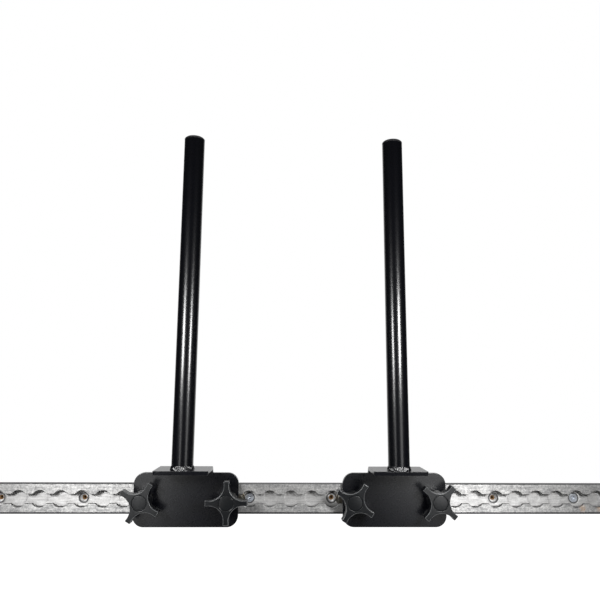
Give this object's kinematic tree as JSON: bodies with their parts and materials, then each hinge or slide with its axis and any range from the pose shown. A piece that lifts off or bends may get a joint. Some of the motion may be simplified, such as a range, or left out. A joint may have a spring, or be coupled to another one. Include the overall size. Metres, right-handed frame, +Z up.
{
  "type": "boot rack",
  "caption": "Wall-fixed slotted track rail with upright round posts on bent steel brackets, clamped along it by star knobs, to hold boots upside down.",
  "frame": {"origin": "where the middle wall screw leaves the back of the rail", "axes": "+X along the rail to the right, -Y towards the user with the wall at +Y, +Z up along the posts"},
  "size_m": [0.9144, 0.0983, 0.4825],
  "materials": {
    "rail_aluminium": "scuffed mill finish",
    "black_powder_coat": "satin black powder coat",
    "black_plastic": "fine-grained moulded plastic",
    "zinc_steel": "bright zinc plating"
  },
  "bodies": {
    "rail": {"track_rail": "rail_aluminium", "wall_screws": "zinc_steel"},
    "left_bracket": {"left_bracket": "black_powder_coat", "left_post": "black_powder_coat", "left_post_weld": "black_powder_coat", "left_post_plug": "black_plastic", "left_outer_track_stud": "zinc_steel", "left_inner_track_stud": "zinc_steel"},
    "left_outer_washer": {"left_outer_washer": "zinc_steel"},
    "left_outer_knob": {"left_outer_knob": "black_plastic", "left_outer_knob_nut": "zinc_steel", "left_outer_knob_cap": "black_plastic"},
    "left_inner_washer": {"left_inner_washer": "zinc_steel"},
    "left_inner_knob": {"left_inner_knob": "black_plastic", "left_inner_knob_nut": "zinc_steel", "left_inner_knob_cap": "black_plastic"},
    "right_bracket": {"right_bracket": "black_powder_coat", "right_post": "black_powder_coat", "right_post_weld": "black_powder_coat", "right_post_plug": "black_plastic", "right_outer_track_stud": "zinc_steel", "right_inner_track_stud": "zinc_steel"},
    "right_outer_washer": {"right_outer_washer": "zinc_steel"},
    "right_outer_knob": {"right_outer_knob": "black_plastic", "right_outer_knob_nut": "zinc_steel", "right_outer_knob_cap": "black_plastic"},
    "right_inner_washer": {"right_inner_washer": "zinc_steel"},
    "right_inner_knob": {"right_inner_knob": "black_plastic", "right_inner_knob_nut": "zinc_steel", "right_inner_knob_cap": "black_plastic"}
  },
  "joints": [
    {"name": "left_bracket_slide", "type": "slide", "parent": "rail", "child": "left_bracket", "axis": [1, 0, 0], "range_m": [-0.3048, 0.0508]},
    {"name": "left_outer_washer_slide", "type": "slide", "parent": "left_bracket", "child": "left_outer_washer", "axis": [0, -1, 0], "range_m": [0, 0.0064]},
    {"name": "left_outer_knob_turn", "type": "hinge", "parent": "left_outer_washer", "child": "left_outer_knob", "pos_m": [-0.127, -0.01976, 0], "axis": [0, -1, 0], "range_deg": [0, 1440]},
    {"name": "left_inner_washer_slide", "type": "slide", "parent": "left_bracket", "child": "left_inner_washer", "axis": [0, -1, 0], "range_m": [0, 0.0064]},
    {"name": "left_inner_knob_turn", "type": "hinge", "parent": "left_inner_washer", "child": "left_inner_knob", "pos_m": [-0.0254, -0.01976, 0], "axis": [0, -1, 0], "range_deg": [0, 1440]},
    {"name": "right_bracket_slide", "type": "slide", "parent": "rail", "child": "right_bracket", "axis": [1, 0, 0], "range_m": [-0.0508, 0.2032]},
    {"name": "right_outer_washer_slide", "type": "slide", "parent": "right_bracket", "child": "right_outer_washer", "axis": [0, -1, 0], "range_m": [0, 0.0064]},
    {"name": "right_outer_knob_turn", "type": "hinge", "parent": "right_outer_washer", "child": "right_outer_knob", "pos_m": [0.2286, -0.01976, 0], "axis": [0, -1, 0], "range_deg": [0, 1440]},
    {"name": "right_inner_washer_slide", "type": "slide", "parent": "right_bracket", "child": "right_inner_washer", "axis": [0, -1, 0], "range_m": [0, 0.0064]},
    {"name": "right_inner_knob_turn", "type": "hinge", "parent": "right_inner_washer", "child": "right_inner_knob", "pos_m": [0.127, -0.01976, 0], "axis": [0, -1, 0], "range_deg": [0, 1440]}
  ],
  "couplings": [
    {"joint": "left_outer_washer_slide", "follows": "left_outer_knob_turn", "m_per_rad": 0.00025266},
    {"joint": "left_inner_washer_slide", "follows": "left_inner_knob_turn", "m_per_rad": 0.00025266},
    {"joint": "right_outer_washer_slide", "follows": "right_outer_knob_turn", "m_per_rad": 0.00025266},
    {"joint": "right_inner_washer_slide", "follows": "right_inner_knob_turn", "m_per_rad": 0.00025266}
  ]
}
